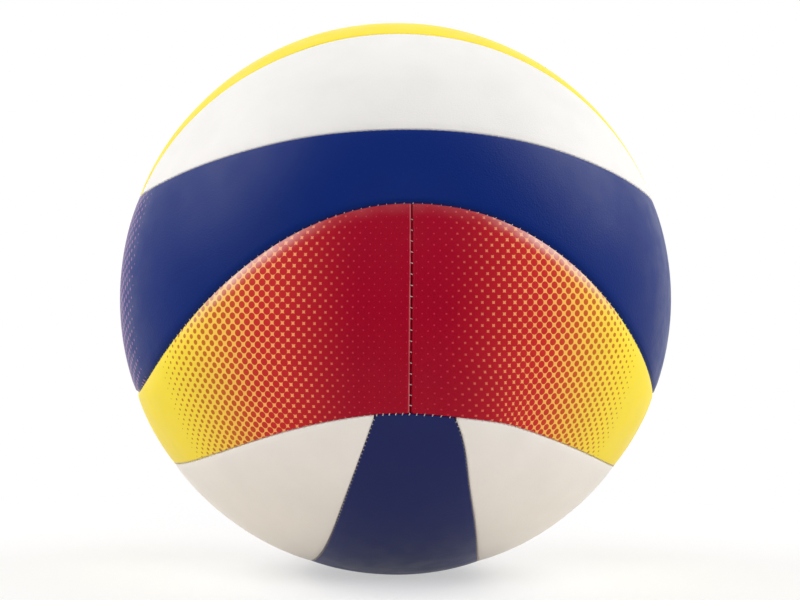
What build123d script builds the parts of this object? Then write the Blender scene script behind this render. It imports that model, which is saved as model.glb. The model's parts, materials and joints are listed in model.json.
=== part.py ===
from build123d import *
import math
import os

# A ten-panel beach volleyball, sewn from three panel shapes round a rubber bladder with a two-piece valve.
# The frame: origin at the ball's centre, +Z up through the middle of the top strip, the front towards -Y.
# The lower half is the upper half turned half a turn about the level diagonal axis, so that the two waves interlock.

# Ball, in millimetres as all lengths here
circumference = 670.0
ball_radius = circumference / (2 * math.pi)

# Panel layers, from the outside in
skin_thickness = 1.0
foam_thickness = 2.2
lining_thickness = 0.6
glue_line = 0.1

# Panel edges, turned in and sewn wall to wall
seam_gap = 0.4
edge_radius = 2.0
corner_radius = 2.5

# Seams, as angles in degrees on the ball
waist_swing_deg = 21.1
waist_ripple_deg = -0.56
ring_height_deg = 29.7
ring_swing_deg = 7.9
ring_ripple_deg = -0.72
strip_half_angle_deg = 18.3

# Seam threads
thread_radius = 0.4
thread_clearance = 0.12
thread_end_gap = 0.6

# Bladder
bladder_clearance = 0.3
bladder_wall = 0.8

# Valve, in the middle of the back strip of the top
valve_recess = 0.3
neck_radius = 4.6
neck_clearance = 0.3
housing_length = 16.0
flange_radius = 13.0
flange_thickness = 1.6
plug_radius = 2.6
plug_length = 13.0
plug_head_radius = 3.5
plug_head_height = 1.2
plug_tip_radius = 1.2
plug_clearance = 0.05
needle_radius = 1.1
needle_depth = 9.0
needle_mouth_radius = 1.8
needle_mouth_depth = 0.7

# How finely the waves are drawn, and how far the cutting shapes reach past the ball
wave_points = 24
ring_spans = 24
turn_step = 1e-4
search_steps = 40
cone_reach_share = 1.3
cone_apex_share = 4.0
cut_overrun = 5.0

# Radii of the layers, worked out from the thicknesses
skin_inner_radius = ball_radius - skin_thickness
foam_outer_radius = skin_inner_radius - glue_line
foam_inner_radius = foam_outer_radius - foam_thickness
lining_outer_radius = foam_inner_radius - glue_line
panel_back_radius = lining_outer_radius - lining_thickness
bladder_outer_radius = panel_back_radius - bladder_clearance
bladder_inner_radius = bladder_outer_radius - bladder_wall

# Distances of the layers' edges from the seam's middle line
skin_inset = seam_gap / 2
cavity_inset = skin_inset + skin_thickness
foam_inset = cavity_inset + glue_line

# The thread rests on the two rolled edges beside it
thread_reach = edge_radius + thread_radius + thread_clearance
thread_depth = edge_radius - math.sqrt(thread_reach**2 - (edge_radius + skin_inset)**2)
thread_seat_radius = ball_radius - thread_depth

front, right, back, left = 0.0, math.pi / 2, math.pi, -math.pi / 2
whole_turn = 2 * math.pi
strip_tilt = math.radians(strip_half_angle_deg)
upright = Axis.Z
diagonal = Axis((0, 0, 0), (1, 1, 0))


def waist_latitude(turn):
    """Latitude of the wave seam round the middle, at a longitude counted from the front towards +X."""
    return math.radians(waist_swing_deg * math.cos(2 * turn) + waist_ripple_deg * math.cos(6 * turn))


def ring_latitude(turn):
    """Latitude of the ring seam between the three top strips and the two upper bands."""
    wave = ring_swing_deg * math.cos(2 * turn) + ring_ripple_deg * math.cos(4 * turn)
    return math.radians(ring_height_deg + wave)


def wave_slope(wave, turn):
    """Climb of a wave seam per unit of travel along its circle of latitude."""
    rise = wave(turn + turn_step) - wave(turn - turn_step)
    return rise / (2 * turn_step) / math.cos(wave(turn))


def on_ball(turn, latitude, radius):
    level = radius * math.cos(latitude)
    return Vector(level * math.sin(turn), -level * math.cos(turn), radius * math.sin(latitude))


def wave_point(wave, turn, radius, inset):
    """Point of a wave seam, moved square to the seam by a distance on the ball, upwards where it is positive."""
    slope = wave_slope(wave, turn)
    shift = inset / ball_radius / math.hypot(1, slope)
    latitude = wave(turn)
    return on_ball(turn - shift * slope / math.cos(latitude), latitude + shift, radius)


def above_wave(wave, inset, start):
    """Solid that holds everything above a wave seam, with straight sides from the ball's centre."""
    turns = [start + whole_turn * i / wave_points for i in range(wave_points)]
    points = [wave_point(wave, turn, cone_reach_share * ball_radius, inset) for turn in turns]
    rim = Wire(Edge.make_spline(points, periodic=True))
    apex = Vertex(0, 0, cone_apex_share * ball_radius)
    return Solid.make_loft([Vertex(0, 0, 0), rim, apex], ruled=True)


def shell(inner, outer):
    """Hollow ball whose poles and joint line lie in the seam between the two upper bands."""
    return Sphere(outer, rotation=(0, 90, 0)) - Sphere(inner, rotation=(0, 90, 0))


def beyond(block, normal, distance):
    """What is left of a block past a plane at a distance from the ball's centre."""
    return block.split(Plane(normal * distance, z_dir=normal), keep=Keep.TOP)


def strip_normal(side):
    """Direction square to a strip seam, away from the centre strip; side is 1 at the front and -1 at the back."""
    return Vector(0, -side * math.cos(strip_tilt), -math.sin(strip_tilt))


def centre_strip(inset, inner, outer):
    """Strip over the top, from ring seam to ring seam along X."""
    block = shell(inner, outer) & above_wave(ring_latitude, inset, front)
    for side in (1, -1):
        block = beyond(block, -strip_normal(side), inset)
    return block


def side_strip(inset, inner, outer):
    """Lens-shaped strip between the centre strip and the ring seam, at the front."""
    block = shell(inner, outer) & above_wave(ring_latitude, inset, right)
    return beyond(block, strip_normal(1), inset)


def half_band(inset, inner, outer):
    """Wavy band between the waist and the ring seam, round the front half of the ball."""
    block = shell(inner, outer) & above_wave(waist_latitude, inset, right)
    block = block - above_wave(ring_latitude, -inset, right)
    return beyond(block, Vector(0, -1, 0), inset)


def end_radii(edge):
    return (edge @ 0).length, (edge @ 1).length


def rolled(block, inner, outer, corner, edge):
    """Rounds a block's upright corners, then the rim of its outer face."""
    middle = (inner + outer) / 2
    if corner > 0:
        corners = [e for e in block.edges() if min(end_radii(e)) < middle < max(end_radii(e))]
        block = block.solid().fillet(corner, corners)
    if edge > 0:
        rim = [e for e in block.edges() if min(end_radii(e)) > middle]
        block = block.solid().fillet(edge, rim)
    return block


def panel_layers(shape):
    """Skin with turned-in edges, foam and cloth lining of one panel shape."""
    hollow_back = panel_back_radius - cut_overrun
    outside = shape(skin_inset, panel_back_radius, ball_radius)
    outside = rolled(outside, panel_back_radius, ball_radius, corner_radius, edge_radius)
    cavity = shape(cavity_inset, hollow_back, skin_inner_radius)
    cavity = rolled(cavity, hollow_back, skin_inner_radius,
                    corner_radius - skin_thickness, edge_radius - skin_thickness)
    inner_corner = corner_radius - skin_thickness - glue_line
    foam = shape(foam_inset, foam_inner_radius, foam_outer_radius)
    foam = rolled(foam, foam_inner_radius, foam_outer_radius,
                  inner_corner, edge_radius - skin_thickness - glue_line)
    lining = shape(foam_inset, panel_back_radius, lining_outer_radius)
    lining = rolled(lining, panel_back_radius, lining_outer_radius, inner_corner, 0)
    return {"cover": outside - cavity, "foam": foam, "lining": lining}


def lower(piece):
    """Turns a piece of the upper half into its twin in the lower half."""
    return piece.rotate(diagonal, 180)


def opposite(piece):
    """Turns a piece half a turn about the upright axis."""
    return piece.rotate(upright, 180)


def make_panels():
    centre = panel_layers(centre_strip)
    side = panel_layers(side_strip)
    band = panel_layers(half_band)
    panels = {}
    for layer in ("cover", "foam", "lining"):
        upper = {
            "top_centre": centre[layer],
            "top_front": side[layer],
            "top_back": opposite(side[layer]),
            "upper_front": band[layer],
            "upper_back": opposite(band[layer]),
        }
        twins = {
            "top_centre": "bottom_centre",
            "top_front": "bottom_left",
            "top_back": "bottom_right",
            "upper_front": "lower_left",
            "upper_back": "lower_right",
        }
        for name, piece in upper.items():
            panels[f"{name}_{layer}"] = piece
            panels[f"{twins[name]}_{layer}"] = lower(piece)
    return panels


def thread_along(path):
    """Round thread along a path of tangent arcs."""
    section = Plane(path @ 0, z_dir=path % 0) * Circle(thread_radius)
    return sweep(section, path=path)


def wave_tangent(wave, turn, radius):
    ahead = wave_point(wave, turn + turn_step, radius, 0)
    behind = wave_point(wave, turn - turn_step, radius, 0)
    return (ahead - behind).normalized()


def two_arcs(start, start_way, end, end_way):
    """Two tangent arcs from one point and direction to another, which stay on the ball that carries the ends."""
    span = end - start
    both = start_way + end_way
    a = 2 * (start_way.dot(end_way) - 1)
    b = -2 * span.dot(both)
    c = span.dot(span)
    reach = 2 * c / (-b + math.sqrt(b * b - 4 * a * c))
    first = start + start_way * reach
    second = end - end_way * reach
    meet = (first + second) * 0.5
    return [
        Edge.make_tangent_arc(start, start_way, meet),
        Edge.make_tangent_arc(meet, (second - first).normalized(), end),
    ]


def ring_thread(wave):
    """Thread round a wave seam, with its two ends a little apart at the back."""
    radius = thread_seat_radius
    gap = (thread_radius + thread_end_gap) / radius
    step = (whole_turn - gap) / ring_spans
    turns = [back + gap / 2 + step * i for i in range(ring_spans + 1)]
    stops = [(wave_point(wave, turn, radius, 0), wave_tangent(wave, turn, radius)) for turn in turns]
    arcs = []
    for (start, start_way), (end, end_way) in zip(stops, stops[1:]):
        arcs += two_arcs(start, start_way, end, end_way)
    return thread_along(Wire(arcs))


def strip_point(angle):
    """Point of the front strip seam, at an angle along it from its middle towards +X."""
    level = math.cos(angle)
    direction = Vector(math.sin(angle), -level * math.sin(strip_tilt), level * math.cos(strip_tilt))
    return direction * thread_seat_radius


def height_over_ring(point):
    """Distance on the ball from the ring seam up to a point."""
    turn = math.atan2(point.X, -point.Y)
    latitude = math.asin(point.Z / point.length)
    climb = (latitude - ring_latitude(turn)) * point.length
    return climb / math.hypot(1, wave_slope(ring_latitude, turn))


def strip_thread():
    """Thread along the front strip seam, stopping short of the ring thread at both ends."""
    stop = 2 * thread_radius + thread_end_gap
    low, high = 0, math.pi / 2
    for _ in range(search_steps):
        middle = (low + high) / 2
        if height_over_ring(strip_point(middle)) > stop:
            low = middle
        else:
            high = middle
    path = Edge.make_three_point_arc(strip_point(-low), strip_point(0), strip_point(low))
    return thread_along(path)


def side_thread():
    """Thread up the seam between the two upper bands, at the right."""
    stop = (2 * thread_radius + thread_end_gap) / thread_seat_radius
    low = waist_latitude(right) + stop
    high = ring_latitude(right) - stop
    latitudes = (low, (low + high) / 2, high)
    path = Edge.make_three_point_arc(*(on_ball(right, lat, thread_seat_radius) for lat in latitudes))
    return thread_along(path)


def make_threads():
    ring = ring_thread(ring_latitude)
    strip = strip_thread()
    side = side_thread()
    return {
        "waist_seam_thread": ring_thread(waist_latitude),
        "top_ring_seam_thread": ring,
        "bottom_ring_seam_thread": lower(ring),
        "top_front_seam_thread": strip,
        "top_back_seam_thread": opposite(strip),
        "bottom_left_seam_thread": lower(strip),
        "bottom_right_seam_thread": lower(opposite(strip)),
        "upper_right_seam_thread": side,
        "upper_left_seam_thread": opposite(side),
        "lower_back_seam_thread": lower(side),
        "lower_front_seam_thread": lower(opposite(side)),
    }


# The valve's axis runs from the ball's centre through the middle of the back strip
strip_low_edge = math.pi / 2 - ring_latitude(back)
valve_tilt = (strip_tilt + strip_low_edge) / 2
valve_axis = Vector(0, math.sin(valve_tilt), math.cos(valve_tilt))
valve_top = ball_radius - valve_recess
housing_bottom = valve_top - housing_length
flange_outer_radius = bladder_inner_radius - glue_line
flange_inner_radius = flange_outer_radius - flange_thickness
bore_radius = plug_radius + plug_clearance
seat_radius = plug_head_radius + plug_clearance
seat_floor = valve_top - plug_head_height
plug_bottom = valve_top - plug_length


def upright_rod(radius, bottom, top):
    """Cylinder on the Z axis between two heights."""
    return Pos(0, 0, bottom) * Cylinder(radius, top - bottom, align=(Align.CENTER, Align.CENTER, Align.MIN))


def on_valve(piece):
    """Turns a piece that was made on the Z axis onto the valve's axis."""
    return piece.rotate(Axis.X, -math.degrees(valve_tilt))


def neck_hole():
    top = ball_radius + cut_overrun
    return on_valve(upright_rod(neck_radius + neck_clearance, housing_bottom, top))


def make_valve_housing():
    """Rubber sleeve with a flange bonded inside the bladder and a seat for the plug's head."""
    flange = shell(flange_inner_radius, flange_outer_radius)
    flange = flange & upright_rod(flange_radius, housing_bottom, valve_top)
    housing = flange + upright_rod(neck_radius, housing_bottom, valve_top)
    housing -= upright_rod(bore_radius, housing_bottom, valve_top)
    housing -= upright_rod(seat_radius, seat_floor - plug_clearance, valve_top)
    return on_valve(housing)


def make_valve_plug():
    """Self-sealing plug with a flush head and a blind hole for the pump's needle."""
    needle_bottom = valve_top - needle_depth
    profile = Polyline(
        (0, needle_bottom),
        (needle_radius, needle_bottom),
        (needle_radius, valve_top - needle_mouth_depth),
        (needle_mouth_radius, valve_top),
        (plug_head_radius, valve_top),
        (plug_head_radius, seat_floor),
        (plug_radius, seat_floor),
        (plug_radius, plug_bottom),
        (0, plug_bottom),
        close=True,
    )
    outline = Plane.XZ * make_face(profile)
    plug = revolve(outline, axis=Axis.Z)
    tip = plug.edges().group_by(Axis.Z)[0]
    return on_valve(fillet(tip, plug_tip_radius))


def make_bladder():
    return shell(bladder_inner_radius, bladder_outer_radius) - neck_hole()


def make_pieces():
    pieces = make_panels()
    for layer in ("cover", "foam", "lining"):
        pieces[f"top_back_{layer}"] -= neck_hole()
    pieces.update(make_threads())
    pieces["bladder"] = make_bladder()
    pieces["valve_housing"] = make_valve_housing()
    pieces["valve_plug"] = make_valve_plug()
    return pieces


os.makedirs("parts", exist_ok=True)
for name, piece in make_pieces().items():
    export_step(piece, f"parts/{name}.step")
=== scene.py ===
import json
import math

import bpy
import numpy as np
from mathutils import Matrix, Vector


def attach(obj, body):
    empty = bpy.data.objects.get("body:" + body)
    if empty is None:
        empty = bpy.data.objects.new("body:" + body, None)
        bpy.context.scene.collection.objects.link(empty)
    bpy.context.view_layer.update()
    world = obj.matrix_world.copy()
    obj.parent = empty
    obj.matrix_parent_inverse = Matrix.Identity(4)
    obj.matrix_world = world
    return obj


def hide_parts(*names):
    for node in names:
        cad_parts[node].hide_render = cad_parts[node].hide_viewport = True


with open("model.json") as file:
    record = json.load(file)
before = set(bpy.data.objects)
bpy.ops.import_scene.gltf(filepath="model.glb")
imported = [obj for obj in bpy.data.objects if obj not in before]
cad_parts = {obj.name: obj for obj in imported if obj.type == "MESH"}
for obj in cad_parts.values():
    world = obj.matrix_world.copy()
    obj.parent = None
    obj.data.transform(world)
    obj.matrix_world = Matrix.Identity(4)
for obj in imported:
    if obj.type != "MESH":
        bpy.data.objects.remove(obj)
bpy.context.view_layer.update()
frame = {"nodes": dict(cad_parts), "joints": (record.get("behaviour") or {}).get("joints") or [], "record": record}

# The ball, in metres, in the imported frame: origin at its centre, +Z up, the front towards -Y
MM = 0.001
mounts = {mount["name"]: mount for mount in frame["record"]["mounts"]}
ball_radius = -mounts["rest_point"]["pos_m"][2]
valve_axis = np.array(frame["joints"][0]["axis"])

# Seams, as the solids have them: heights and swings in degrees, the strips' tilt in radians
WAIST_SWING, WAIST_RIPPLE = 21.1, -0.56
RING_HEIGHT, RING_SWING, RING_RIPPLE = 29.7, 7.9, -0.72
STRIP_TILT = math.radians(18.3)

# Panels: depths of the walls' middle and foot, crown between the seams, sink of the whole face,
# its unevenness, and the pull of the stitches
WALL_DEPTHS = (2.2 * MM, 3.9 * MM)
CROWN, CROWN_REACH = 0.35 * MM, 9 * MM
SINK = 0.25 * MM
WAVINESS = 0.10 * MM
PUCKER, PUCKER_REACH = 0.12 * MM, 1.0 * MM

# Unevenness as waves over the ball: rates along X, Y and Z in radians per ball radius, and a phase
RIPPLES = (
    ((13.3, 7.7, 0), 0.4),
    ((0, 16.1, -9.8), 1.7),
    ((11.2, 0, 14.7), 2.9),
)

# Edges at each kind of seam: half the seam's gap; how far in the roll starts and how deep it falls;
# how far in the gentler shoulder starts, its fall, and its further fall where the wave runs steep.
# The upper bands' side of the waist is tucked under the lower bands' side
EDGES = {
    "waist": (0.2 * MM, 1.3 * MM, 0.4 * MM, 7.5 * MM, 0.1 * MM, 1.0 * MM),
    "tucked": (0.34 * MM, 1.6 * MM, 0.8 * MM, 5 * MM, 0.1 * MM, 0),
    "ring": (0.14 * MM, 0.5 * MM, 0.28 * MM, 4 * MM, 0.03 * MM, 0),
    "strip": (0.18 * MM, 0.5 * MM, 0.32 * MM, 4 * MM, 0.03 * MM, 0),
    "side": (0.14 * MM, 1.0 * MM, 0.7 * MM, 3 * MM, 0.06 * MM, 0),
}
ROLL_POWER = 1.8
# Power that blends the distances from a panel's seams into one
BLEND_POWER = 4.0
# How far the padding lifts a lower band beside a steep waist, and how far in
LIFT, LIFT_REACH = 0.7 * MM, 18 * MM

# Where sewing lets the seams wander from their even places: middle and reach in ball radii,
# and the shift in metres
WANDERS = (
    ((0, -1, 0), (0.18, 0.5, 0.9), (-1.75 * MM, 0, 0)),
    ((0.22, -0.9, -0.38), (0.13, 0.5, 0.18), (5.6 * MM, 0, -1.6 * MM)),
    ((0.30, -0.35, -0.88), (0.2, 0.35, 0.25), (-1.8 * MM, 0, 0)),
    ((-0.29, -0.4, -0.87), (0.2, 0.4, 0.3), (1.9 * MM, 0, 0)),
    ((-0.85, -0.15, 0.5), (0.45, 0.4, 0.5), (0, 4.5 * MM, 0)),
)

# Stitches: spacing along each kind of seam and depth below the ball's surface, then the thread:
# radius, reach to each side of the seam, how far its ends dip, and slant
PITCHES = {
    "waist": 3.3 * MM,
    "tucked": 3.3 * MM,
    "ring": 2.4 * MM,
    "strip": 1.9 * MM,
    "side": 4.0 * MM,
}
STITCH_DEPTHS = {"waist": 1.3 * MM, "ring": 0.37 * MM, "strip": 0.40 * MM, "side": 0.8 * MM}
THREAD_RADIUS = 0.15 * MM
STITCH_REACH = 0.45 * MM
STITCH_BEND = 0.1 * MM
STITCH_SLANT = 0.3
# Room left at the ends of a run, in stitches, and the longitude near which a strip seam meets the ring
STRIP_ROOM, SIDE_ROOM = 1.2, 0.6
STRIP_END = math.radians(81.0)

# Valve: radius of the hole in the cover, the cutter's ends in ball radii, the dip of the face
# towards the hole, and the angle from which the hole's edge is shaded sharp
HOLE_RADIUS = 4.9 * MM
CUTTER_ENDS = (0.9, 1.1)
DIMPLE, DIMPLE_REACH = 0.5 * MM, 7 * MM
SHARP_ANGLE = math.radians(35)

# Mesh density
EDGE_STEPS = 7
MIDDLE_ROWS = 20
COLUMN_STEP = 1.0 * MM
WAVE_SAMPLES = 4096
STITCH_SIDES, STITCH_BENDS = 8, 6
HOLE_SIDES, FLOOR_SIDES = 64, 96

# Grids: rounds that settle rows against columns, halvings that find an end, step for slopes,
# room for a band's rolled ends, width left at a side strip's tips and how soon its edges narrow there
GRID_ROUNDS, HALVINGS = 6, 50
SLOPE_STEP = 1e-4
END_ROOM = 1.15
TIP_WIDTH, TIP_NARROWING = 1.5 * MM, 1.2

# Printed dots: spacing along a row and the rows' tilt in degrees; growth and power of a dot's size
# by degrees from the fade's end; that end; how many degrees ahead the fade is on a band's own right
RED_DOT_PITCH, RED_ROW_TILT = 2.2, 0.0
RED_DOT_LAW, RED_FADE_END, RED_FADE_SHIFT = (0.0943, 0.479), 60.0, 5.2
BLUE_DOT_PITCH, BLUE_ROW_TILT = 2.7, -20.0
BLUE_DOT_LAW, BLUE_FADE_END, BLUE_FADE_SHIFT = (0.102, 0.5), 20.0, 8.0
SHIFT_RATE = 4.0
LARGEST_DOT, DOT_BLUR = 0.65, 0.025
# Degrees of fade over which the ground turns from pink to salmon and on to yellow,
# and the dots from red to scarlet and on to orange
GROUND_SPANS = ((10.0, 27.0), (18.0, 60.0))
DOT_SPANS = ((10.0, 32.0), (30.0, 52.0))

# Colours of the covers
WHITE, YELLOW = (0.87, 0.85, 0.825), (0.96, 0.77, 0.042)
BLUE, LILAC = (0.0004, 0.0165, 0.152), (0.30, 0.14, 0.34)
NAVY = (0.0125, 0.0190, 0.103)
RED, SCARLET, ORANGE = (0.35, 0.0004, 0.018), (0.60, 0.022, 0.025), (0.56, 0.19, 0.014)
PINK, SALMON = (0.54, 0.020, 0.058), (0.95, 0.36, 0.16)
# Pale tints on the red bands: a painted highlight on the waist shoulder, partly worn print, and a painted
# highlight along the lapped end
RUBBED_HIGHLIGHT, LAP_HIGHLIGHT = (0.97, 0.74, 0.69), (0.90, 0.24, 0.27)

# Leather: roughness and gloss of each cover, then its patches, grain and pores
PALE_FINISH, NAVY_FINISH = (0.42, 0.09), (0.42, 0.12)
BLUE_FINISH, RED_FINISH = (0.37, 0.105), (0.42, 0.11)
TONE_SIZE, DEEP_TONE = 22 * MM, 0.965
WEAR_SIZE, WEAR_DETAIL, WEAR_SPAN = 9 * MM, 4.0, (-0.04, 0.05)
GRAIN_SIZE, GRAIN_STRENGTH, GRAIN_HEIGHT = 0.6 * MM, 0.4, 0.10 * MM
PORE_SIZE, PORE_STRENGTH, PORE_HEIGHT = 0.45 * MM, 0.3, 0.08 * MM
NOISE_DETAIL, FINE_DETAIL = 3.0, 2.0
NOISE_SPAN = (0.3, 0.7)

# Pale print on the waist shoulder, partly worn print and partly a painted highlight, and a painted highlight along
# the lapped end:
# each span goes from one value to another, and its share from one number to another. The values are noise, degrees
# of fade, and millimetres from the waist or from the lapped end
RUB_HIGHLIGHT_SIZE, RUB_HIGHLIGHT_PATCHES = 6 * MM, (0.3, 0.6, 0.55, 1.0)
RUB_HIGHLIGHT_START, RUB_HIGHLIGHT_STOP = (17, 32, 0.08, 1.0), (54, 37, 0.05, 1.0)
RUB_HIGHLIGHT_SHOULDER, RUB_HIGHLIGHT_POWER = (7.0, 0.2, 0.0, 0.75), 1.6
LAP_START, LAP_STOP = (0.1, 0.35, 0.0, 1.0), (0.85, 0.5, 0.0, 0.55)

# Thread
THREAD_COLOUR, THREAD_DARK = (0.82, 0.76, 0.72), 0.75
FIBRE_SIZE, FIBRE_SPAN = 0.12 * MM, (0.35, 0.65)
FIBRE_STRENGTH, FIBRE_HEIGHT = 0.5, 0.08 * MM
THREAD_ROUGHNESS, THREAD_SHEEN = 0.7, 0.2

# Rubber: colour and roughness of each kind, how much paler its clouds are, and its skin
BLADDER_RUBBER = ((0.02, 0.02, 0.022), 0.6)
VALVE_RUBBER = ((0.72, 0.71, 0.68), 0.5)
CLOUD_SIZE, CLOUD_GAIN, CLOUD_LIFT = 4 * MM, 1.15, 0.01
SKIN_SIZE, SKIN_STRENGTH, SKIN_HEIGHT = 0.4 * MM, 0.15, 0.05 * MM

# Floor: colour, roughness, radius, and share of the background's white by metres from its middle
FLOOR_COLOUR, FLOOR_ROUGHNESS = (0.84, 0.78, 0.70, 1), 0.9
FLOOR_REACH = 0.38
FLOOR_FADE = (0.10, 0.34, 0.5, 1.0)

# Lamps: direction from the ball, distance and width in metres, level, and whether the ball mirrors it
LAMPS = {
    "left_softbox": ((-0.78, 0.09, 0.62), 1.15, 0.95, 0.465, True),
    "right_softbox": ((0.78, 0.10, 0.62), 1.15, 0.95, 0.468, True),
    "left_fill": ((-0.88, -0.40, 0.22), 1.8, 1.2, 0.22, False),
    "right_fill": ((0.90, -0.40, 0.14), 1.8, 1.2, 0.28, False),
    "front_fill": ((0, -0.85, 0.52), 2.0, 1.6, 0.33, False),
}

# Light of the studio by direction: its back, the share of the back above the floor, its side walls
STUDIO_BACK = (-0.4, 0.8, 0.03, 0.58)
STUDIO_ABOVE = (-0.3, 0.0, 0.1, 1.0)
STUDIO_WALLS = (0.45, 0.9, 0.0, 0.25)
PURE_WHITE = (1, 1, 1, 1)

# Camera where the photograph was taken: turns about the ball's axes, distance in ball radii,
# sensor and lens in millimetres, shift in shares of the picture's width
CAMERA_SWING = math.radians(-4.05)
CAMERA_RISE = math.radians(-1.68)
CAMERA_ROLL = math.radians(-0.63)
CAMERA_DISTANCE = 11.416
SENSOR_WIDTH, LENS = 36, 141.1
PICTURE_WIDTH = 800
CAMERA_SHIFT = (4.7 / PICTURE_WIDTH, -1.2 / PICTURE_WIDTH)


# Seams of the upper half; the lower half is the upper half turned over
def waist_latitude(turn):
    return np.radians(WAIST_SWING * np.cos(2 * turn) + WAIST_RIPPLE * np.cos(6 * turn))


def ring_latitude(turn):
    return np.radians(RING_HEIGHT + RING_SWING * np.cos(2 * turn) + RING_RIPPLE * np.cos(4 * turn))


def wave_lean(wave, turn):
    """Cosine of a wave seam's angle to its circle of latitude."""
    rise = (wave(turn + SLOPE_STEP) - wave(turn - SLOPE_STEP)) / (2 * SLOPE_STEP)
    return 1 / np.hypot(1, rise / np.cos(wave(turn)))


def wave_lengths(wave):
    """Longitudes round a wave seam and the length of seam up to each."""
    turn = np.linspace(-np.pi, np.pi, WAVE_SAMPLES)
    rate = ball_radius * np.cos(wave(turn)) / wave_lean(wave, turn)
    steps = (rate[1:] + rate[:-1]) / 2 * np.diff(turn)
    return turn, np.concatenate([[0], np.cumsum(steps)])


WAVE_LENGTHS = {"waist": wave_lengths(waist_latitude), "ring": wave_lengths(ring_latitude)}


def direction(turn, latitude):
    """Unit vectors at longitudes counted from the front towards +X."""
    level = np.cos(latitude)
    return np.stack([np.sin(turn) * level, -np.cos(turn) * level, np.sin(latitude)], -1)


def turn_and_latitude(points):
    return np.arctan2(points[..., 0], -points[..., 1]), np.arcsin(np.clip(points[..., 2], -1, 1))


def strip_normal(side):
    """Direction square to a strip seam, away from the centre strip: side 1 is front, -1 is back."""
    return np.array([0, -side * math.cos(STRIP_TILT), -math.sin(STRIP_TILT)])


# Distance from each kind of seam and length along it, for unit vectors on the upper half
def from_wave(kind, wave, points, side):
    turn, latitude = turn_and_latitude(points)
    away = side * (latitude - wave(turn)) * wave_lean(wave, turn) * ball_radius
    return kind, away, np.interp(turn, *WAVE_LENGTHS[kind])


def from_plane(kind, normal, points, along):
    away = np.arcsin(np.clip(points @ normal, -1, 1)) * ball_radius
    return kind, away, along * ball_radius


# Grids of unit vectors for the three panel shapes, with the seams round each
def edge_distances(kind):
    """Distances from a seam at which the rolled edge is drawn."""
    half_gap, width = EDGES[kind][:2]
    bend = np.linspace(0, np.pi / 2, EDGE_STEPS + 1)
    return half_gap + width * (1 - np.cos(bend))


def rows_between(low_kind, high_kind):
    """Share of the way across for each row of a panel, and its distances from the two seams."""
    low, high = edge_distances(low_kind), edge_distances(high_kind)
    inner = np.linspace(0, 1, MIDDLE_ROWS + 2)[1:-1]
    share = np.concatenate([np.zeros(len(low)), inner, np.ones(len(high))])
    from_low = np.concatenate([low, np.full(len(inner), low[-1]), np.zeros(len(high))])
    from_high = np.concatenate([np.zeros(len(low)), np.full(len(inner), high[-1]), high[::-1]])
    return share, from_low, from_high


def middle_columns(length, end_distances):
    """Shares from -1 to 1 for the columns between a panel's two rolled ends."""
    inner = length - 2 * end_distances[-1]
    count = int(inner / COLUMN_STEP)
    return np.linspace(-1, 1, count + 2)[1:-1]


def band_grid():
    """Wavy band of the upper half round the front, between the waist and the ring seam."""
    share, from_waist, from_ring = rows_between("waist", "ring")
    ends = edge_distances("side")
    limit = np.pi / 2 - END_ROOM * ends[-1] / ball_radius
    middle = limit * middle_columns(np.pi * ball_radius, ends)
    turn = np.concatenate([-np.full(len(ends), limit), middle, np.full(len(ends), limit)])
    turn = np.repeat(turn[:, None], len(share), 1)
    for _ in range(GRID_ROUNDS):
        low = waist_latitude(turn) + from_waist / ball_radius / wave_lean(waist_latitude, turn)
        high = ring_latitude(turn) - from_ring / ball_radius / wave_lean(ring_latitude, turn)
        latitude = (1 - share) * low + share * high
        reach = np.sin(ends / ball_radius)[:, None] / np.cos(latitude[:len(ends)])
        end_turn = np.pi / 2 - np.arcsin(reach)
        turn[:len(ends)] = -end_turn
        turn[-len(ends):] = end_turn[::-1]
    points = direction(turn, latitude)
    seams = [
        from_wave("waist", waist_latitude, points, 1),
        from_wave("ring", ring_latitude, points, -1),
        from_plane("side", np.array([0, -1.0, 0]), points, latitude),
    ]
    return points, seams


def side_strip_grid():
    """Lens-shaped strip at the front of the top, between the ring seam and a strip seam."""
    share, from_ring, from_strip = rows_between("ring", "strip")

    def spans(turn):
        flat = math.cos(STRIP_TILT) * np.cos(turn)
        reach = np.hypot(flat, math.sin(STRIP_TILT))
        return reach, np.arctan2(math.sin(STRIP_TILT), flat)

    def room_between(turn, tilt):
        return (np.pi / 2 - tilt - ring_latitude(turn)) * ball_radius

    low_tip, high_tip = 0.0, np.pi / 2
    for _ in range(HALVINGS):
        tip = (low_tip + high_tip) / 2
        wide = room_between(tip, spans(tip)[1]) > TIP_WIDTH
        low_tip, high_tip = (tip, high_tip) if wide else (low_tip, tip)
    columns = int(2 * tip * math.cos(math.radians(RING_HEIGHT)) * ball_radius / COLUMN_STEP)
    turn = np.linspace(-tip, tip, columns)[:, None]
    reach, tilt = spans(turn)
    lean = wave_lean(ring_latitude, turn)
    room = room_between(turn, tilt)
    squeeze = room / (room + TIP_NARROWING * (from_ring.max() + from_strip.max()))
    low = ring_latitude(turn) + squeeze * from_ring / ball_radius / lean
    high = np.arccos(np.sin(squeeze * from_strip / ball_radius) / reach) - tilt
    latitude = (1 - share) * low + share * high
    turn = np.repeat(turn, len(share), 1)
    points = direction(turn, latitude)
    along = np.arctan2(points[..., 0], np.hypot(points[..., 1], points[..., 2]))
    seams = [
        from_wave("ring", ring_latitude, points, 1),
        from_plane("strip", strip_normal(1), points, along),
    ]
    return points, seams


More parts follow.
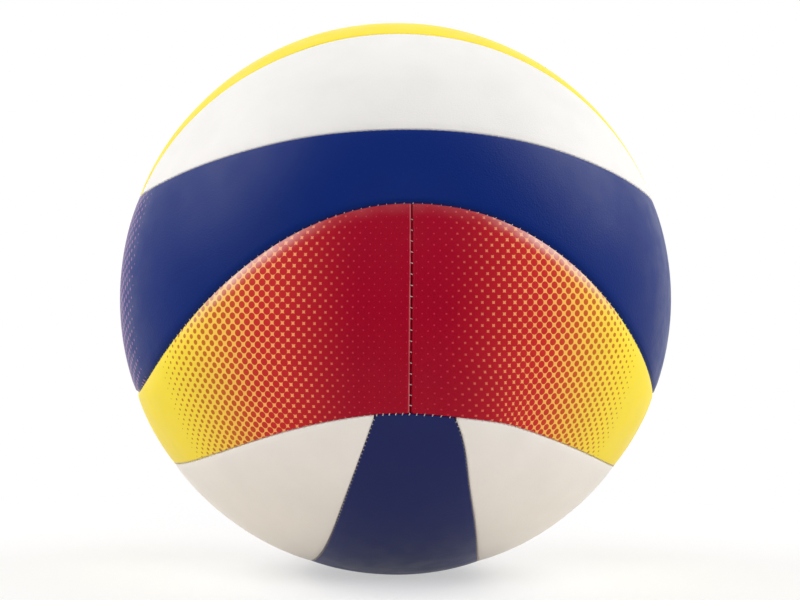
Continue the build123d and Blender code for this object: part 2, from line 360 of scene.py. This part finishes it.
def centre_strip_grid():
    """Strip over the top along X, between the two strip seams."""
    share, from_back, from_front = rows_between("strip", "strip")
    ends = edge_distances("ring")
    length = 2 * (np.pi / 2 - ring_latitude(np.pi / 2)) * ball_radius
    middle = middle_columns(length, ends)
    shares = np.concatenate([np.full(len(ends), -1.0), middle, np.full(len(ends), 1.0)])
    offsets = np.concatenate([ends, np.full(len(middle), ends[-1]), ends[::-1]])[:, None]
    travel = np.repeat(shares[:, None], len(share), 1)

    def place(travel, across):
        level = np.cos(travel)
        return np.stack([np.sin(travel), -level * np.sin(across), level * np.cos(across)], -1)

    for _ in range(GRID_ROUNDS):
        level = np.cos(travel)
        back = -STRIP_TILT + np.arcsin(np.sin(from_back / ball_radius) / level)
        front = STRIP_TILT - np.arcsin(np.sin(from_front / ball_radius) / level)
        across = (1 - share) * back + share * front
        low, high = np.zeros_like(across), np.full_like(across, np.pi / 2)
        for _ in range(HALVINGS):
            end = (low + high) / 2
            turn, latitude = turn_and_latitude(place(end, across))
            inside = latitude > ring_latitude(turn)
            low, high = np.where(inside, end, low), np.where(inside, high, end)
        travel = shares[:, None] * (low - offsets / ball_radius)
    points = place(travel, across)
    seams = [
        from_wave("ring", ring_latitude, points, 1),
        from_plane("strip", -strip_normal(1), points, travel),
        from_plane("strip", -strip_normal(-1), points, travel),
    ]
    return points, seams


# Panel meshes
def face_shape(points, seams):
    """Depth of a panel's face below the ball's surface, and distances from the edges that rub."""
    drop, deepest, pull, nearest, lift = 0, 0, 0, 0, 0
    turn = turn_and_latitude(points)[0]
    steep = np.sin(2 * turn)**2
    inwards = {}
    for kind, away, along in seams:
        half_gap, width, depth, reach, fall, more = EDGES[kind]
        away = np.maximum(away - half_gap, 0)
        nearness = np.clip(1 - away / width, 0, 1)
        slope = np.clip(1 - away / reach, 0, 1)**2
        own = depth * nearness**ROLL_POWER + (fall + more * steep) * slope
        deepest = np.maximum(deepest, depth + fall + more)
        drop = drop + own - drop * own / deepest
        stitch = 0.5 + 0.5 * np.cos(2 * np.pi * along / PITCHES[kind])
        pull = pull + stitch * np.exp(-away / PUCKER_REACH) * nearness
        nearest = nearest + (away + half_gap)**-BLEND_POWER
        if kind == "waist":
            lift = LIFT * steep * np.exp(-(away / LIFT_REACH)**2)
        inwards[kind] = away
    far = np.full(turn.shape, ball_radius)
    waist_away = inwards.get("waist", far)
    lap_away = np.where(turn < 0, inwards.get("side", far), far)
    inside = nearest**(-1 / BLEND_POWER)
    swell = CROWN * (1 - np.exp(-inside / CROWN_REACH))
    return drop + SINK - swell - lift + PUCKER * pull, waist_away, lap_away


def wander(points):
    """Unit vectors moved by the sewing's wander."""
    moved = points.copy()
    for middle, reach, shift in WANDERS:
        weight = np.exp(-(((points - middle) / reach)**2).sum(-1, keepdims=True))
        moved = moved + weight * np.array(shift) / ball_radius
    return moved / np.linalg.norm(moved, axis=-1, keepdims=True)


def ripple(points):
    """Slight unevenness of a pressed and sewn cover, the same at every run."""
    waves = [np.sin(points @ np.array(rates) + phase) for rates, phase in RIPPLES]
    return sum(waves) / len(waves)


def grid_faces(rows, columns):
    index = np.arange(rows * columns).reshape(rows, columns)
    corners = [index[:-1, :-1], index[1:, :-1], index[1:, 1:], index[:-1, 1:]]
    return np.stack(corners, -1).reshape(-1, 4)


def border_loop(rows, columns):
    """Indices of a grid's border, in order round it."""
    index = np.arange(rows * columns).reshape(rows, columns)
    return np.concatenate([index[:-1, 0], index[-1, :-1], index[:0:-1, -1], index[0, :0:-1]])


def look_out(points, faces):
    """Whether faces look away from the ball's centre."""
    a, b, c = (points[faces[:, i]] for i in range(3))
    return np.einsum("ij,ij->i", np.cross(b - a, c - a), a + b + c).sum() > 0


def panel_faces(face, rows, columns, loop, inner):
    """Faces of a closed panel: its face's grid, walls down from the grid's border, and a back."""
    front = grid_faces(rows, columns)
    turned = not look_out(face, front)
    if turned:
        front = front[:, ::-1]
    rings = [loop]
    for i in range(len(WALL_DEPTHS)):
        rings.append(len(face) + len(loop) * i + np.arange(len(loop)))
    walls = []
    for high, low in zip(rings, rings[1:]):
        quads = np.stack([high, np.roll(high, -1), np.roll(low, -1), low], -1)
        walls.append(quads if turned else quads[:, ::-1])
    back = np.empty(len(face), int)
    back[loop] = rings[-1]
    back[inner] = len(face) + len(loop) * len(WALL_DEPTHS) + np.arange(len(inner))
    return np.concatenate([front, *walls, back[front[:, ::-1]]])


def new_mesh(name, points, faces):
    mesh = bpy.data.meshes.new(name)
    mesh.from_pydata(points.tolist(), [], [list(face) for face in faces])
    mesh.validate()
    mesh.shade_smooth()
    piece = bpy.data.objects.new(name, mesh)
    bpy.context.scene.collection.objects.link(piece)
    return piece


def store(piece, name, values):
    """Keeps a number or a vector for each vertex of a piece, for its material to read."""
    kind, field = ("FLOAT_VECTOR", "vector") if values.ndim == 2 else ("FLOAT", "value")
    attribute = piece.data.attributes.new(name, kind, "POINT")
    attribute.data.foreach_set(field, values.astype(np.float32).ravel())


def print_place(points, lower):
    """Place in the print: lattice columns and rows in dot pitches, and degrees of fade."""
    turn, latitude = turn_and_latitude(points)
    if lower:
        pitch, tilt, shift = RED_DOT_PITCH, RED_ROW_TILT, RED_FADE_SHIFT
    else:
        pitch, tilt, shift = BLUE_DOT_PITCH, BLUE_ROW_TILT, BLUE_FADE_SHIFT
    tilt = math.radians(tilt)
    fade = 90 - np.degrees(np.abs(turn)) + shift * (0.5 + 0.5 * np.tanh(SHIFT_RATE * turn))
    across = np.degrees(turn * math.cos(tilt) + latitude * math.sin(tilt)) / pitch
    up = np.degrees(latitude * math.cos(tilt) - turn * math.sin(tilt)) / pitch
    return np.stack([across, up, fade], -1)


def panel_mesh(name, grid, pose, dimple=None):
    """Closed panel: a crowned face with rolled edges, walls down into the seams, and a back."""
    points, seams = grid
    if name.startswith("upper"):
        seams = [("tucked" if kind == "waist" else kind, *rest) for kind, *rest in seams]
    rows, columns = points.shape[:2]
    drop, waist_away, lap_away = face_shape(points, seams)
    placed = wander(points @ pose.T)
    radius = ball_radius - drop + WAVINESS * ripple(placed)
    if dimple is not None:
        radius = radius - dimple(placed)
    outward = placed.reshape(-1, 3)
    face = outward * radius.reshape(-1, 1)
    loop = border_loop(rows, columns)
    walls = [outward[loop] * (ball_radius - depth) for depth in WALL_DEPTHS]
    inner = np.setdiff1d(np.arange(len(face)), loop)
    back = outward[inner] * (ball_radius - WALL_DEPTHS[-1])
    vertices = np.concatenate([face, *walls, back])
    piece = new_mesh(name, vertices, panel_faces(face, rows, columns, loop, inner))
    printed = print_place(points, name.startswith("lower")).reshape(-1, 3)
    printed = np.concatenate([printed, *[printed[loop]] * len(walls), printed[inner]])
    store(piece, "print_place", printed)
    for label, away in (("waist_away", waist_away), ("lap_away", lap_away)):
        millimetres = np.full(len(vertices), ball_radius / MM)
        millimetres[:len(face)] = away.ravel() / MM
        store(piece, label, millimetres)
    return piece


# Poses of the three panel shapes on the ball
UPRIGHT = np.eye(3)
OPPOSITE = np.diag([-1.0, -1.0, 1.0])
LOWER = np.array([[0, 1.0, 0], [1.0, 0, 0], [0, 0, -1.0]])
PANELS = {
    "top_centre": ("centre", UPRIGHT, "cover_yellow"),
    "top_front": ("side", UPRIGHT, "cover_white"),
    "top_back": ("side", OPPOSITE, "cover_white"),
    "upper_front": ("band", UPRIGHT, "cover_blue"),
    "upper_back": ("band", OPPOSITE, "cover_blue"),
    "bottom_centre": ("centre", LOWER, "cover_blue"),
    "bottom_left": ("side", LOWER, "cover_white"),
    "bottom_right": ("side", LOWER @ OPPOSITE, "cover_white"),
    "lower_left": ("band", LOWER, "cover_red"),
    "lower_right": ("band", LOWER @ OPPOSITE, "cover_red"),
}


# Materials
class Nodes:
    """Adds shader nodes to a material or a world and joins them."""

    def __init__(self, owner):
        owner.use_nodes = True
        self.tree = owner.node_tree
        self.shader = self.tree.nodes.get("Principled BSDF") or self.tree.nodes["Background"]

    def add(self, kind, **settings):
        node = self.tree.nodes.new(kind)
        for key, value in settings.items():
            setattr(node, key, value)
        return node

    def feed(self, socket, value):
        if isinstance(value, bpy.types.NodeSocket):
            self.tree.links.new(value, socket)
        else:
            socket.default_value = value

    def finish(self, name, value):
        """Sets one of the shader's own sockets, or links it."""
        self.feed(self.shader.inputs[name], value)

    def math(self, operation, first, second=0.0):
        node = self.add("ShaderNodeMath", operation=operation)
        self.feed(node.inputs[0], first)
        self.feed(node.inputs[1], second)
        return node.outputs[0]

    def ramp(self, value, low, high, low_out=0.0, high_out=1.0):
        node = self.add("ShaderNodeMapRange", interpolation_type="SMOOTHSTEP")
        for socket, number in zip(node.inputs, (value, low, high, low_out, high_out)):
            self.feed(socket, number)
        return node.outputs[0]

    def mix(self, factor, first, second):
        """Mixes colours; inputs 6 and 7 and output 2 are the node's colour sockets."""
        node = self.add("ShaderNodeMix", data_type="RGBA")
        self.feed(node.inputs[0], factor)
        self.feed(node.inputs[6], first)
        self.feed(node.inputs[7], second)
        return node.outputs[2]

    def split(self, vector):
        node = self.add("ShaderNodeSeparateXYZ")
        self.feed(node.inputs[0], vector)
        return node.outputs

    def stored(self, name):
        return self.add("ShaderNodeAttribute", attribute_name=name).outputs

    def place(self):
        return self.add("ShaderNodeTexCoord").outputs["Object"]

    def noise(self, size, detail=NOISE_DETAIL):
        node = self.add("ShaderNodeTexNoise")
        self.feed(node.inputs["Scale"], 1 / size)
        self.feed(node.inputs["Detail"], detail)
        self.feed(node.inputs["Vector"], self.place())
        return node.outputs[0]

    def cells(self, size):
        node = self.add("ShaderNodeTexVoronoi", feature="SMOOTH_F1")
        self.feed(node.inputs["Scale"], 1 / size)
        self.feed(node.inputs["Vector"], self.place())
        return node.outputs["Distance"]

    def bump(self, height, strength, distance, below=None):
        node = self.add("ShaderNodeBump")
        self.feed(node.inputs["Strength"], strength)
        self.feed(node.inputs["Distance"], distance)
        self.feed(node.inputs["Height"], height)
        if below is not None:
            self.feed(node.inputs["Normal"], below)
        return node.outputs[0]

    def seen(self):
        """1 where the camera looks, straight, mirrored or through glass, and 0 for other light."""
        path = self.add("ShaderNodeLightPath").outputs
        mirrored = self.math("MAXIMUM", path["Is Glossy Ray"], path["Is Transmission Ray"])
        return self.math("MAXIMUM", path["Is Camera Ray"], mirrored)


def opaque(colour, tone=1):
    """Colour with its alpha, darkened by a tone."""
    return (*(tone * part for part in colour), 1)


def rub_and_highlight_edges(nodes, colour, fade):
    """Pale print on the waist shoulder, partly worn print and partly a painted highlight, most in mid-fade, and a
    painted highlight along the lapped end.
    """
    waist_away = nodes.stored("waist_away")["Fac"]
    lap_away = nodes.stored("lap_away")["Fac"]
    patches = nodes.ramp(nodes.noise(RUB_HIGHLIGHT_SIZE), *RUB_HIGHLIGHT_PATCHES)
    # The waist shoulder's pale band is partly worn print and partly a painted highlight, strongest in mid-fade
    mid_fade = nodes.math("MULTIPLY", nodes.ramp(fade, *RUB_HIGHLIGHT_START), nodes.ramp(fade, *RUB_HIGHLIGHT_STOP))
    shoulder = nodes.math("POWER", nodes.ramp(waist_away, *RUB_HIGHLIGHT_SHOULDER), RUB_HIGHLIGHT_POWER)
    rub_highlight = nodes.math("MULTIPLY", nodes.math("MULTIPLY", shoulder, mid_fade), patches)
    colour = nodes.mix(rub_highlight, colour, opaque(RUBBED_HIGHLIGHT))
    # Pale pink line along the lapped end: a painted highlight of its rounded edge
    line = nodes.math("MULTIPLY", nodes.ramp(lap_away, *LAP_START), nodes.ramp(lap_away, *LAP_STOP))
    return nodes.mix(nodes.math("MULTIPLY", line, patches), colour, opaque(LAP_HIGHLIGHT))


def leather_finish(nodes, colour, deep, roughness, gloss):
    """Fine pebbled grain, slight tone changes from deep to colour, and a satin sheen."""
    tone = nodes.ramp(nodes.noise(TONE_SIZE), *NOISE_SPAN)
    nodes.finish("Base Color", nodes.mix(tone, deep, colour))
    low, high = (roughness + change for change in WEAR_SPAN)
    wear = nodes.ramp(nodes.noise(WEAR_SIZE, WEAR_DETAIL), *NOISE_SPAN, low, high)
    nodes.finish("Roughness", wear)
    grain = nodes.bump(nodes.cells(GRAIN_SIZE), GRAIN_STRENGTH, GRAIN_HEIGHT)
    pores = nodes.bump(nodes.noise(PORE_SIZE), PORE_STRENGTH, PORE_HEIGHT, grain)
    nodes.finish("Normal", pores)
    nodes.finish("Specular IOR Level", gloss)


def plain_leather(material, colour, finish):
    """Cover of one colour."""
    leather_finish(Nodes(material), opaque(colour), opaque(colour, DEEP_TONE), *finish)


def dotted_leather(material, ground, dots, law, fade_end, finish, blend=None):
    """Cover printed with round dots that shrink away from the panel's end seams."""
    nodes = Nodes(material)
    across, up, fade = nodes.split(nodes.stored("print_place")["Vector"])
    squares = []
    for operation in ("ADD", "SUBTRACT"):
        lattice = nodes.math(operation, across, up)
        offset = nodes.math("SUBTRACT", lattice, nodes.math("ROUND", lattice))
        squares.append(nodes.math("MULTIPLY", offset, offset))
    away = nodes.math("SQRT", nodes.math("ADD", *squares))
    left = nodes.math("MAXIMUM", nodes.math("SUBTRACT", fade_end, fade), 0.0)
    growth, power = law
    size = nodes.math("MULTIPLY", nodes.math("POWER", left, power), growth)
    largest = nodes.math("MINIMUM", size, LARGEST_DOT)
    inside = nodes.ramp(nodes.math("SUBTRACT", largest, away), -DOT_BLUR, DOT_BLUR)
    ground, dots = opaque(ground), opaque(dots)
    if blend is not None:
        pink, salmon, scarlet, orange = (opaque(colour) for colour in blend)
        near = nodes.mix(nodes.ramp(fade, *GROUND_SPANS[0]), pink, salmon)
        ground = nodes.mix(nodes.ramp(fade, *GROUND_SPANS[1]), near, ground)
        middle = nodes.mix(nodes.ramp(fade, *DOT_SPANS[0]), dots, scarlet)
        dots = nodes.mix(nodes.ramp(fade, *DOT_SPANS[1]), middle, orange)
    colour = nodes.mix(inside, ground, dots)
    if blend is not None:
        # Painted highlights on the waist shoulder, partly worn print, and along the lapped end
        colour = rub_and_highlight_edges(nodes, colour, fade)
    shade = nodes.add("ShaderNodeHueSaturation")
    nodes.feed(shade.inputs["Value"], DEEP_TONE)
    nodes.feed(shade.inputs["Color"], colour)
    leather_finish(nodes, colour, shade.outputs[0], *finish)


def twisted_thread(material, colour):
    """Twisted polyester thread."""
    nodes = Nodes(material)
    fibre = nodes.noise(FIBRE_SIZE, FINE_DETAIL)
    tone = nodes.ramp(fibre, *FIBRE_SPAN)
    nodes.finish("Base Color", nodes.mix(tone, opaque(colour, THREAD_DARK), opaque(colour)))
    nodes.finish("Normal", nodes.bump(fibre, FIBRE_STRENGTH, FIBRE_HEIGHT))
    nodes.finish("Roughness", THREAD_ROUGHNESS)
    nodes.finish("Sheen Weight", THREAD_SHEEN)


def moulded_rubber(material, colour, roughness):
    """Moulded rubber with a fine dull surface."""
    nodes = Nodes(material)
    pale = tuple(min(1, CLOUD_GAIN * part + CLOUD_LIFT) for part in colour)
    cloud = nodes.ramp(nodes.noise(CLOUD_SIZE), *NOISE_SPAN)
    nodes.finish("Base Color", nodes.mix(cloud, opaque(colour), opaque(pale)))
    skin = nodes.noise(SKIN_SIZE, FINE_DETAIL)
    nodes.finish("Normal", nodes.bump(skin, SKIN_STRENGTH, SKIN_HEIGHT))
    nodes.finish("Roughness", roughness)


def floor_finish(material):
    """Pale floor with the ball's soft shadow, running out to the background's white."""
    nodes = Nodes(material)
    seen = nodes.seen()
    nodes.finish("Base Color", nodes.mix(seen, FLOOR_COLOUR, PURE_WHITE))
    nodes.finish("Roughness", FLOOR_ROUGHNESS)
    nodes.finish("Specular IOR Level", 0.0)
    white = nodes.add("ShaderNodeEmission")
    length = nodes.add("ShaderNodeVectorMath", operation="LENGTH")
    nodes.feed(length.inputs[0], nodes.place())
    paleness = nodes.ramp(length.outputs["Value"], *FLOOR_FADE)
    blend = nodes.add("ShaderNodeMixShader")
    nodes.feed(blend.inputs[0], nodes.math("MULTIPLY", seen, paleness))
    nodes.feed(blend.inputs[1], nodes.shader.outputs[0])
    nodes.feed(blend.inputs[2], white.outputs[0])
    nodes.feed(nodes.tree.nodes["Material Output"].inputs["Surface"], blend.outputs[0])


RED_BLEND = (PINK, SALMON, SCARLET, ORANGE)
FINISHES = {
    "cover_white": (plain_leather, WHITE, PALE_FINISH),
    "cover_yellow": (plain_leather, YELLOW, PALE_FINISH),
    "cover_blue": (dotted_leather, BLUE, LILAC, BLUE_DOT_LAW, BLUE_FADE_END, BLUE_FINISH),
    "cover_red": (dotted_leather, YELLOW, RED, RED_DOT_LAW, RED_FADE_END, RED_FINISH, RED_BLEND),
    "plain_blue": (plain_leather, NAVY, NAVY_FINISH),
    "seam_thread": (twisted_thread, THREAD_COLOUR),
    "bladder_rubber": (moulded_rubber, *BLADDER_RUBBER),
    "valve_rubber": (moulded_rubber, *VALVE_RUBBER),
    "floor": (floor_finish,),
}
MATERIALS = {}
for material_name, (make, *details) in FINISHES.items():
    MATERIALS[material_name] = bpy.data.materials.new(material_name)
    make(MATERIALS[material_name], *details)


# Panels
def valve_dimple(points):
    """The face dips to the valve's mouth."""
    away = np.arccos(np.clip(points @ valve_axis, -1, 1)) * ball_radius
    return DIMPLE * np.exp(-(away / DIMPLE_REACH)**2)


def circle(radius, sides, height):
    """Points round a level circle."""
    turns = np.linspace(0, 2 * np.pi, sides, endpoint=False)
    return np.stack([radius * np.cos(turns), radius * np.sin(turns), np.full(sides, height)], -1)


def cut_valve_hole(piece):
    """Round hole for the valve's neck, straight through a panel."""
    foot, head = (circle(HOLE_RADIUS, HOLE_SIDES, end * ball_radius) for end in CUTTER_ENDS)
    index = np.arange(HOLE_SIDES)
    ahead = np.roll(index, -1)
    wall = np.stack([index, ahead, HOLE_SIDES + ahead, HOLE_SIDES + index], -1).tolist()
    lids = [index[::-1].tolist(), (index + HOLE_SIDES).tolist()]
    cutter = new_mesh("valve_cutter", np.concatenate([foot, head]), wall + lids)
    cutter.rotation_mode = "QUATERNION"
    cutter.rotation_quaternion = Vector((0, 0, 1)).rotation_difference(Vector(valve_axis))
    hole = piece.modifiers.new("hole", "BOOLEAN")
    hole.operation, hole.solver, hole.object = "DIFFERENCE", "EXACT", cutter
    bpy.context.view_layer.update()
    evaluated = piece.evaluated_get(bpy.context.evaluated_depsgraph_get())
    cut = bpy.data.meshes.new_from_object(evaluated)
    piece.modifiers.clear()
    cut.set_sharp_from_angle(angle=SHARP_ANGLE)
    piece.data = cut
    bpy.data.objects.remove(cutter)


def make_panels():
    grids = {"centre": centre_strip_grid(), "side": side_strip_grid(), "band": band_grid()}
    for name, (shape, pose, slot) in PANELS.items():
        dimple = valve_dimple if name == "top_back" else None
        piece = panel_mesh(f"{name}_panel", grids[shape], pose, dimple)
        if name == "top_back":
            cut_valve_hole(piece)
        look = "plain_blue" if name == "bottom_centre" else slot
        piece.data.materials.clear()
        piece.data.materials.append(MATERIALS[look])
        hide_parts(*(f"{name}_{layer}" for layer in ("cover", "foam", "lining")))
        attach(piece, "ball")


# Stitches: runs of places along the seams, as unit vectors with the directions along and across
def with_sides(points, ahead):
    """Places with unit vectors along and across their seam."""
    ahead = ahead / np.linalg.norm(ahead, axis=1, keepdims=True)
    return points, ahead, np.cross(points, ahead)


def wandered_run(points, ahead):
    """Run moved by the sewing's wander."""
    step = SLOPE_STEP * ahead
    return with_sides(wander(points), wander(points + step) - wander(points - step))


def wave_run(kind, wave):
    """Places along a wave seam, a stitch apart, with the direction ahead at each."""
    turn, length = WAVE_LENGTHS[kind]
    count = int(length[-1] / PITCHES[kind])
    turns = np.interp(np.arange(count) * PITCHES[kind], length, turn)
    before, after = turns - SLOPE_STEP, turns + SLOPE_STEP
    ahead = direction(after, wave(after)) - direction(before, wave(before))
    return with_sides(direction(turns, wave(turns)), ahead)


def strip_run():
    """Places along the front strip seam."""
    step = PITCHES["strip"] / ball_radius
    tip = np.pi / 2 - ring_latitude(STRIP_END) - STRIP_ROOM * step
    count = int(tip / step)
    travel = np.arange(-count, count + 1) * step
    level, rise = np.cos(travel), np.sin(travel)
    points = np.stack([rise, -level * math.sin(STRIP_TILT), level * math.cos(STRIP_TILT)], -1)
    ahead = np.stack([level, rise * math.sin(STRIP_TILT), -rise * math.cos(STRIP_TILT)], -1)
    return with_sides(points, ahead)


def side_run():
    """Places up the seam between the two upper bands, at the right."""
    step = PITCHES["side"] / ball_radius
    low = waist_latitude(np.pi / 2) + SIDE_ROOM * step
    high = ring_latitude(np.pi / 2) - SIDE_ROOM * step
    latitudes = np.arange(math.ceil(low / step), math.floor(high / step) + 1) * step
    turns = np.full(len(latitudes), np.pi / 2)
    ahead = np.stack([-np.sin(latitudes), 0 * turns, np.cos(latitudes)], -1)
    return with_sides(direction(turns, latitudes), ahead)


def stitch_mesh(name, kind, run, pose):
    """Short arched lengths of thread across a seam, one for each place of a run."""
    points, ahead, across = wandered_run(*(part @ pose.T for part in run[:2]))
    sway = np.linspace(-1, 1, STITCH_BENDS + 1)
    turns = np.linspace(0, 2 * np.pi, STITCH_SIDES, endpoint=False)
    heights = ball_radius - STITCH_DEPTHS[kind] - STITCH_BEND * sway**2
    count = (STITCH_BENDS + 1) * STITCH_SIDES
    vertices, faces = [], []
    for place, along, over in zip(points, ahead, across):
        over = over + STITCH_SLANT * along
        over = over / np.linalg.norm(over)
        flank = np.cross(place, over)
        index = len(vertices) * count + np.arange(count).reshape(STITCH_BENDS + 1, STITCH_SIDES)
        centres = place * heights[:, None] + over * (STITCH_REACH * sway)[:, None]
        ring = THREAD_RADIUS * (np.cos(turns)[:, None] * flank + np.sin(turns)[:, None] * place)
        vertices.append((centres[:, None] + ring[None]).reshape(-1, 3))
        turned = np.roll(index, -1, axis=1)
        quads = np.stack([index[:-1], turned[:-1], turned[1:], index[1:]], -1).reshape(-1, 4)
        faces += quads.tolist() + [index[0, ::-1].tolist(), index[-1].tolist()]
    return new_mesh(name, np.concatenate(vertices), faces)


def make_stitches():
    ring, strip, side = wave_run("ring", ring_latitude), strip_run(), side_run()
    runs = {
        "waist": ("waist", wave_run("waist", waist_latitude), UPRIGHT),
        "top_ring": ("ring", ring, UPRIGHT),
        "bottom_ring": ("ring", ring, LOWER),
        "top_front": ("strip", strip, UPRIGHT),
        "top_back": ("strip", strip, OPPOSITE),
        "bottom_left": ("strip", strip, LOWER),
        "bottom_right": ("strip", strip, LOWER @ OPPOSITE),
        "upper_right": ("side", side, UPRIGHT),
        "upper_left": ("side", side, OPPOSITE),
        "lower_back": ("side", side, LOWER),
        "lower_front": ("side", side, LOWER @ OPPOSITE),
    }
    for name, (kind, run, pose) in runs.items():
        piece = stitch_mesh(f"{name}_stitches", kind, run, pose)
        piece.data.materials.append(MATERIALS["seam_thread"])
        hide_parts(f"{name}_seam_thread")
        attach(piece, "ball")


# Materials of the solids that stay: the bladder and the valve
SOLIDS = {
    "bladder": "bladder_rubber",
    "valve_housing": "valve_rubber",
    "valve_plug": "valve_rubber",
}


def finish_solids():
    for node, slot in SOLIDS.items():
        piece = frame["nodes"][node]
        piece.data.materials.clear()
        piece.data.materials.append(MATERIALS[slot])


# Studio
def make_floor():
    """Round floor at the lowest point that the ball's face can reach."""
    rim = circle(FLOOR_REACH, FLOOR_SIDES, 0.0)
    floor = new_mesh("floor", rim, [list(range(FLOOR_SIDES))])
    floor.location.z = -ball_radius - CROWN + SINK - WAVINESS
    floor.data.materials.append(MATERIALS["floor"])


def area_light(name, aim, distance, size, level, mirrored):
    """Round soft light towards the ball; level is the light on a surface that faces it."""
    data = bpy.data.lights.new(name, "AREA")
    lamp = bpy.data.objects.new(name, data)
    bpy.context.scene.collection.objects.link(lamp)
    place = Vector(aim).normalized() * distance
    lamp.location = place
    lamp.rotation_euler = (-place).to_track_quat("-Z", "Y").to_euler()
    spread = (size / 2)**2 / ((size / 2)**2 + distance**2)
    data.shape, data.size = "DISK", size
    data.energy = level / spread * math.pi * math.pi * (size / 2)**2
    lamp.visible_camera = False
    lamp.visible_glossy = mirrored


def make_lights():
    for name, details in LAMPS.items():
        area_light(name, *details)


def make_world():
    """White as seen and mirrored; as light, a studio with a dark front and pale walls and back."""
    world = bpy.data.worlds.new("studio")
    bpy.context.scene.world = world
    nodes = Nodes(world)
    way = nodes.split(nodes.add("ShaderNodeTexCoord").outputs["Generated"])
    back = nodes.ramp(way["Y"], *STUDIO_BACK)
    back = nodes.math("MULTIPLY", back, nodes.ramp(way["Z"], *STUDIO_ABOVE))
    walls = nodes.ramp(nodes.math("ABSOLUTE", way["X"]), *STUDIO_WALLS)
    studio = nodes.math("MAXIMUM", back, walls)
    nodes.finish("Color", PURE_WHITE)
    nodes.finish("Strength", nodes.ramp(nodes.seen(), 0.0, 1.0, studio, 1.0))


def make_camera():
    swing = Matrix.Rotation(CAMERA_SWING, 3, "Z")
    rise = Matrix.Rotation(CAMERA_RISE, 3, "X")
    roll = Matrix.Rotation(CAMERA_ROLL, 3, "Y")
    turn = swing @ rise @ roll
    right, forward, up = turn.col
    data = bpy.data.cameras.new("camera")
    camera = bpy.data.objects.new("camera", data)
    bpy.context.scene.collection.objects.link(camera)
    axes = Matrix((right, up, -forward)).transposed().to_4x4()
    camera.matrix_world = Matrix.Translation(-CAMERA_DISTANCE * ball_radius * forward) @ axes
    data.sensor_width, data.lens = SENSOR_WIDTH, LENS
    data.shift_x, data.shift_y = CAMERA_SHIFT
    bpy.context.scene.camera = camera


make_panels()
make_stitches()
finish_solids()
make_floor()
make_lights()
make_world()
make_camera()
bpy.context.scene.view_settings.view_transform = "Standard"
